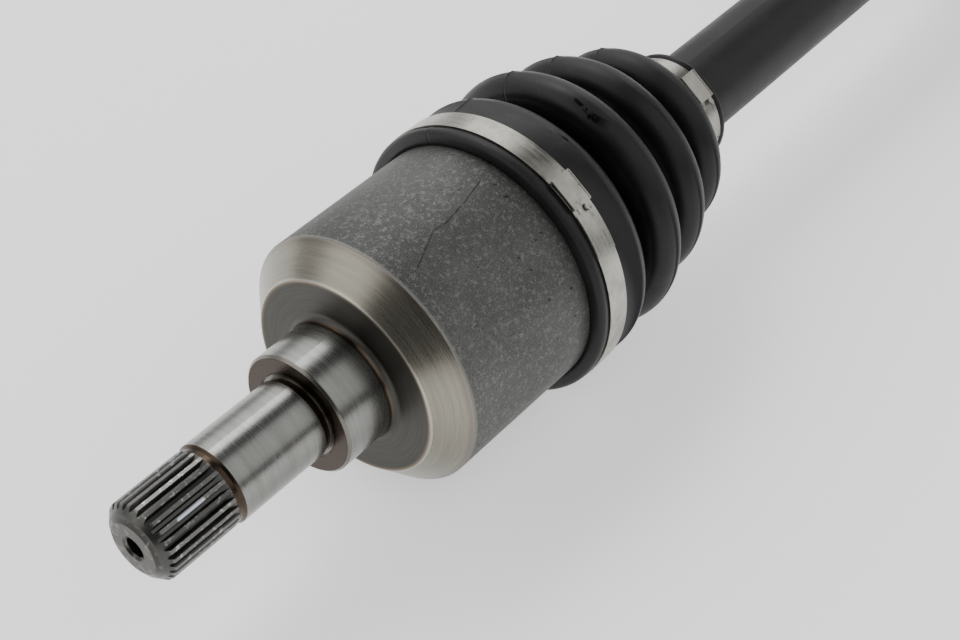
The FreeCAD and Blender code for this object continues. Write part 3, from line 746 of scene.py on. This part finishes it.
class Boot:
    """The places of one boot's folds, with its large end at start, and its skin at a depth in the wall."""

    def __init__(self, start, length, overlap, first_fold, heights, depth, crest_half, valley_half,
                 room=0.0):
        self.start, self.overlap = start, overlap
        self.clamp_start = start + bead_length
        self.clamp_end = self.clamp_start + clamp_width
        self.cuff_end = start + length
        self.cuff_start = self.cuff_end - cuff_length
        self.crest_half, self.valley_half = crest_half, valley_half
        foot = self.cuff_start - valley_half
        pitch = (foot - self.clamp_end - first_fold) / (len(heights) - 0.5)
        self.crests = []
        self.valleys = []
        for number, height in enumerate(heights):
            middle = self.clamp_end + first_fold + pitch * number
            self.crests.append((middle, joint_radius + height))
            self.valleys.append((middle + pitch / 2, joint_radius + height - depth))
        self.valleys[0] = (self.valleys[0][0], self.valleys[0][1] + room)
        self.valleys[-1] = (foot, cuff_bead_radius)

    def folds(self, inward):
        """The folds' line after the seat, and where the crests' tops and the valleys' ends are on it."""
        crest = self.crest_half - inward
        valley = self.valley_half + inward
        line, tops, ends = [], [], []

        def arc(x, radius, size, first, last, samples=crest_samples):
            for sample in range(samples + 1):
                angle = math.radians(first + (last - first) * sample / samples)
                line.append((x + size * math.cos(angle), radius + size * math.sin(angle)))

        for number, (top, low) in enumerate(zip(self.crests, self.valleys)):
            center = top[1] - inward - crest
            if number:
                arc(top[0], center, crest, 180, 90)
            else:
                line.append((top[0], top[1] - inward))
            tops.append(len(line) - 1)
            arc(top[0], center, crest, 90, 0)
            if number < len(self.crests) - 1:
                center = low[1] - inward + valley
                arc(low[0], center, valley, 180, 360, valley_samples)
                ends.append(len(line) - 1)
        return line, {"top": tops, "valley_end": ends}

    def outside(self):
        """Lip, bead, clamp seat, folds and cuff, and the marked indices on them."""
        head = [(self.start, lip_radius)]
        for sample in range(1, bead_samples):
            turn = math.pi * sample / bead_samples
            head.append((self.start + bead_length / 2 * (1 - math.cos(turn)),
                         lip_radius + (bead_radius - lip_radius) * math.sin(turn) ** 0.5))
        # The clamp's seat cuts off the far end of the round bead.
        head = [point for point in head if point[0] < self.start + bead_length * 0.8]
        head += [(self.clamp_start - 0.3 * MM, seat_radius + 0.3 * MM), (self.clamp_start, seat_radius),
                 (self.clamp_end, seat_radius)]
        line, marks = self.folds(0.0)
        end = self.cuff_end
        cuff = [(self.cuff_start, cuff_bead_radius),
                (self.cuff_start + 0.8 * MM, cuff_bead_radius - 0.3 * MM),
                (self.cuff_start + 1.5 * MM, cuff_radius), (end - 2.5 * MM, cuff_radius),
                (end - 2.1 * MM, cuff_radius + 0.9 * MM), (end - 1.6 * MM, cuff_bead_radius),
                (end - 0.7 * MM, cuff_bead_radius), (end, cuff_radius + 0.6 * MM)]
        return head + line + cuff, marks, len(head)

    def inside(self):
        line, marks = self.folds(boot_wall)
        head = [(self.start, joint_radius), (self.start + self.overlap + 0.3 * MM, joint_radius)]
        cuff = [(self.cuff_start + boot_wall, bar_radius), (self.cuff_end, bar_radius)]
        return head + line + cuff, marks, len(head)


# %% Parting line
ridge_height, ridge_half = 0.15 * MM, 0.45 * MM
nib_height, nib_half, nib_reach = 0.55 * MM, 1.1 * MM, 2.0 * MM
near_crest = 0.6 * MM
skin_inset = 0.1 * MM


def slope(height, half, away):
    """A small roof: its height in the middle, and zero from half its width on."""
    return height * max(0.0, 1 - away / half)


def parting_ridge(crests):
    """The mould's parting line, and a nib on each crest, standing on the skin without passing the solid."""
    def shape(x, radius, turn):
        if radius <= cuff_bead_radius + skin_inset:
            return 0.0
        lift = 0.0
        for side in (parting_turn, parting_turn + math.pi):
            away = abs((turn - side + math.pi) % (2 * math.pi) - math.pi) * radius
            lift = max(lift, slope(ridge_height, ridge_half, away))
            for crest_x, crest_radius in crests:
                if abs(radius - crest_radius) < near_crest and abs(x - crest_x) < nib_reach:
                    lift = max(lift, slope(nib_height, nib_half, away))
        return lift - skin_inset
    return shape


# %% Boot meshes
boot_steps = 360


def boot_halves(name, boot, mark, number, mirror=False):
    """Two closed meshes that meet at the top of a crest or the end of a valley."""
    outer, outer_marks, outer_head = boot.outside()
    inner, inner_marks, inner_head = boot.inside()
    cut = outer_head + outer_marks[mark][number]
    inner_cut = inner_head + inner_marks[mark][number]
    halves = []
    for label, skin, lining in (("large_half", outer[:cut + 1], inner[:inner_cut + 1]),
                                ("small_half", outer[cut:], inner[inner_cut:])):
        profile = skin + lining[::-1]
        marks = boot.crests
        if mirror:
            profile = [(-x, radius) for x, radius in profile][::-1]
            marks = [(-x, radius) for x, radius in marks]
        piece = turn_profile(name + "_" + label, profile, boot_steps, parting_ridge(marks))
        piece.data.materials.append(rubber)
        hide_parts(name)
        halves.append(piece)
    return halves


# %% Inboard boot
inboard_length = 108.0 * MM
inboard_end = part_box("inboard_boot")[1][0]
inboard_boot = Boot(start=inboard_end - inboard_length, length=inboard_length, overlap=19.2 * MM,
                    first_fold=8.5 * MM, heights=[4.6 * MM, 3.7 * MM, -1.2 * MM, -8.5 * MM],
                    depth=14.5 * MM, crest_half=6.1 * MM, valley_half=1.9 * MM, room=2.0 * MM)
large_half, small_half = boot_halves("inboard_boot", inboard_boot, "valley_end", 0)
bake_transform(large_half)
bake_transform(small_half)
print("inboard boot points:", len(large_half.data.vertices) + len(small_half.data.vertices))

# %% Outboard boot
# The same class draws this boot the other way round, so its places are negative until it is mirrored.
outboard_length = 92.0 * MM
outboard_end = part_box("outboard_boot")[0][0] + outboard_length
outboard_boot = Boot(start=-outboard_end, length=outboard_length, overlap=16.0 * MM, first_fold=6.5 * MM,
                     heights=[4.6 * MM, 2.6 * MM, -2.0 * MM, -7.5 * MM, -13.0 * MM],
                     depth=10.5 * MM, crest_half=4.1 * MM, valley_half=1.2 * MM)
large_half, small_half = boot_halves("outboard_boot", outboard_boot, "top", 2, mirror=True)
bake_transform(large_half)
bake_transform(small_half)
print("outboard boot points:", len(large_half.data.vertices) + len(small_half.data.vertices))

# %% [markdown]
# ## The band clamps
# A clamp is one strip of bright steel, wound round the boot until its ends overlap. The outer end is
# pulled tight over a flat pressed bridge, with a small tab that hooks over its end. A curve with a
# bevel could make the band, but not its square steps. Short runs of one strip section are placed by
# their turn round the shaft instead, and a flat plate is a run whose radius grows towards both ends.

# %% Clamp steel
def clamp_steel():
    finish = Finish("clamp_steel", metallic=1.0)
    stains = finish.noise(70.0, 5.0, 0.7)
    lines = finish.lathe_lines(20.0, 0.5)
    color = finish.mix(finish.between(stains, 0.4, 0.66), (0.315, 0.306, 0.272), (0.44, 0.429, 0.389))
    grime = finish.between(finish.noise(240.0, 4.0, 0.7), 0.6, 0.7)
    color = finish.mix(finish.product(grime, 0.6), color, (0.14, 0.135, 0.125))
    roughness = finish.between(lines, 0.3, 0.7, 0.24, 0.38)
    return finish.show(color, roughness, finish.bump(lines, 0.04 * MM, 0.3))


band_steel = clamp_steel()
print("clamp finish:", len(band_steel.node_tree.nodes), "nodes")


# %% Strip
class Strip:
    """Lengths of strip that are collected for one mesh."""

    def __init__(self):
        self.points = []
        self.faces = []

    def join(self, sections):
        """Joins closed sections, each a list of points, into one capped body."""
        count = len(sections[0])
        base = len(self.points)
        last = base + (len(sections) - 1) * count
        for section in sections:
            self.points.extend(section)
        for a in range(base, last, count):
            b = a + count
            for index in range(count):
                after = (index + 1) % count
                self.faces.append((a + index, b + index, b + after, a + after))
        self.faces.append(tuple(base + index for index in range(count)))
        self.faces.append(tuple(last + index for index in reversed(range(count))))

    def run(self, x_start, width, low, thickness, first, last, edge=0.12 * MM):
        """One length between two turns in degrees. Low is the radius under it, or a function of the turn."""
        steps = max(3, int(abs(last - first) / 1.5))
        x_end = x_start + width
        sections = []
        for step in range(steps + 1):
            turn = math.radians(first + (last - first) * step / steps)
            under = low(turn) if callable(low) else low
            over = under + thickness
            outline = [(x_start, under), (x_start, over - edge), (x_start + edge, over),
                       (x_end - edge, over), (x_end, over - edge), (x_end, under)]
            sections.append([around(x, radius, turn) for x, radius in outline])
        self.join(sections)


# %% Clamp sizes
seat_gap = 0.05 * MM
band_thickness = 0.75 * MM
second_turn = 0.7 * MM
tail_thickness = 0.38 * MM
# The tail is as long as 18 degrees of a circle of 48 mm radius.
tail_length = math.radians(18.0) * 48.0 * MM
bridge_height = 2.1 * MM
bridge_half = 6.5 * MM
plate_thickness = 0.5 * MM
rim_width, rim_thickness = 0.55 * MM, 0.28 * MM
leg_height, leg_turn = 0.7 * MM, 0.9
tongue_thickness = 0.3 * MM
hook_thickness, hook_edge = 0.62 * MM, 0.16 * MM
# The hook's short steps: how far past the plate each starts, as a share of half the bridge, and how far its
# sides are set in, as a share of the band's width.
hook_steps = [(0.0, 0.06), (0.08, 0.02), (0.16, 0.0), (0.24, 0.02), (0.3, 0.06)]


# %% Clamps
def band_clamp(name, node, body, seat, ear_turn):
    """Band, overlapped end, flat bridge with rims, and hooked tab, inside the solid clamp's own shape."""
    low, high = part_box(node)
    start, width = low[0], high[0] - low[0]
    band = seat + seat_gap
    second = band + second_turn
    top = band + bridge_height
    half_turn = math.degrees(math.atan(bridge_half / top))
    first, last = ear_turn - half_turn, ear_turn + half_turn
    plate_end = last - half_turn * 0.28
    tab_end = last + half_turn * 0.1
    tail_end = last + math.degrees(tail_length / top)

    def flat(drop):
        """The radius of a flat plane that lies this far under the bridge's top."""
        return lambda turn: (top - drop) / math.cos(turn - math.radians(ear_turn))

    steel = Strip()
    steel.run(start, width, band, band_thickness, ear_turn - 180, ear_turn + 180)
    steel.run(start, width, flat(0.75 * MM), plate_thickness, first, plate_end)
    for rim in (start, start + width - rim_width):
        steel.run(rim, rim_width, flat(0.3 * MM), rim_thickness, first + 0.4, plate_end - 0.4)
    for leg in (first, plate_end - leg_turn):
        steel.run(start, width, second, leg_height, leg, leg + leg_turn)
    steel.run(start + width * 0.22, width * 0.78, second, tongue_thickness, plate_end - 0.5, tab_end)
    for share, inset in hook_steps:
        steel.run(start + width * (0.52 + inset), width * (0.3 - 2 * inset), flat(1.05 * MM), hook_thickness,
                  plate_end + half_turn * share, plate_end + half_turn * (share + 0.09), hook_edge)
    for x, part in ((start, 0.3), (start + width * 0.72, 0.28)):
        steel.run(x, width * part, second, tail_thickness, last + 0.2, tail_end)
    steel.run(start, width, second, tail_thickness, tab_end, tail_end)
    mesh = bpy.data.meshes.new(name)
    mesh.from_pydata(steel.points, [], steel.faces)
    mesh.update()
    mesh.materials.append(band_steel)
    piece = bpy.data.objects.new(name, mesh)
    scene.collection.objects.link(piece)
    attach(piece, body)
    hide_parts(node)
    return piece


clamps = [
    band_clamp("inboard_large_band", "inboard_large_clamp", "housing", seat_radius, 36.0),
    band_clamp("inboard_small_band", "inboard_small_clamp", "bar", cuff_radius, 36.0),
    band_clamp("outboard_large_band", "outboard_large_clamp", "bell", seat_radius, 180.0),
    band_clamp("outboard_small_band", "outboard_small_clamp", "bar", cuff_radius, 36.0),
]
print("clamps:", [piece.name for piece in clamps])
